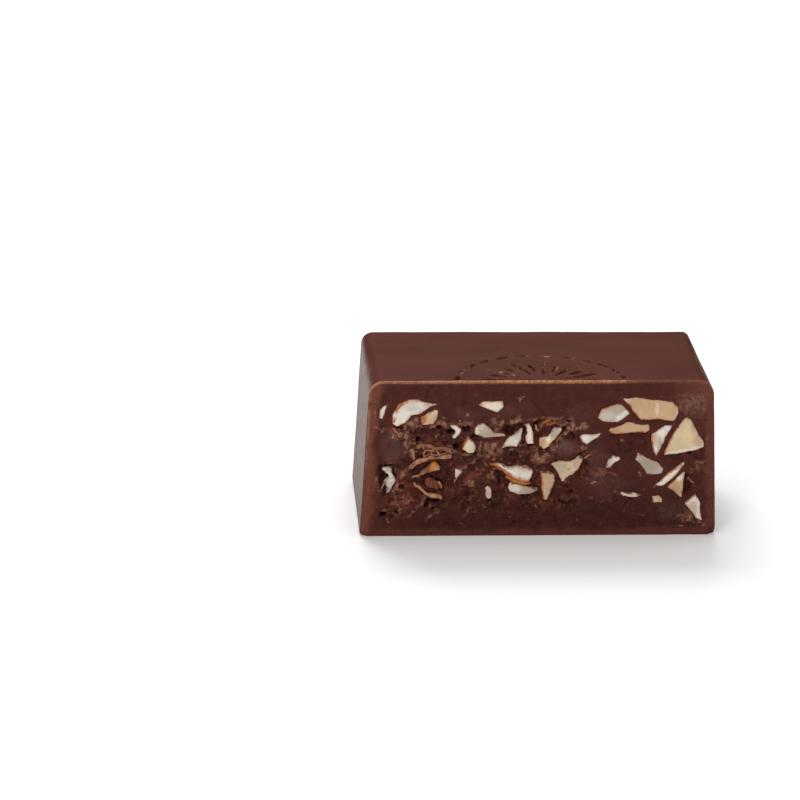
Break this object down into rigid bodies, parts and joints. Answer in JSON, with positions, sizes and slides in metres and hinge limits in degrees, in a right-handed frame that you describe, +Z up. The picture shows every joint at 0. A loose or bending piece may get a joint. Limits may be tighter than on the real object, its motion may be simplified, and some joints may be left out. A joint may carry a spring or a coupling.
{
  "type": "cut nut chocolate square",
  "caption": "Half of a moulded dark chocolate square with a pressed sunburst on top, cut through to show chopped nuts and brittle flakes in its praline filling.",
  "frame": {"origin": "on the surface it stands on, under the middle of its bounding box", "axes": "+X to the right along the cut face, +Y from the cut face to the rear wall, +Z up"},
  "size_m": [0.032, 0.016, 0.0145],
  "materials": {
    "shell_chocolate": "satin",
    "praline_filling": "matte",
    "nut_white": "satin",
    "nut_cream": "satin",
    "nut_tan": "satin",
    "nut_grey": "satin",
    "brittle_flake": "satin"
  },
  "bodies": {
    "root": {"shell": "shell_chocolate", "praline": "praline_filling", "nut_01": "nut_white", "nut_02": "nut_white", "nut_03": "nut_tan", "nut_04": "nut_cream", "nut_05": "nut_white", "nut_06": "nut_grey", "nut_07": "nut_cream", "nut_08": "nut_white", "nut_09": "nut_white", "nut_10": "nut_cream", "nut_11": "nut_white", "nut_12": "nut_grey", "nut_13": "nut_tan", "nut_14": "nut_tan", "nut_15": "nut_white", "nut_16": "nut_cream", "nut_17": "nut_grey", "nut_18": "nut_white", "nut_19": "nut_white", "nut_20": "nut_tan", "nut_21": "nut_white", "nut_22": "nut_white", "nut_23": "nut_grey", "nut_24": "nut_tan", "nut_25": "nut_cream", "nut_26": "nut_white", "nut_27": "nut_tan", "nut_28": "nut_white", "nut_29": "nut_white", "nut_30": "nut_white", "flake_01": "brittle_flake", "flake_02": "brittle_flake", "flake_03": "brittle_flake", "flake_04": "brittle_flake", "flake_05": "brittle_flake", "flake_06": "brittle_flake"}
  },
  "joints": []
}
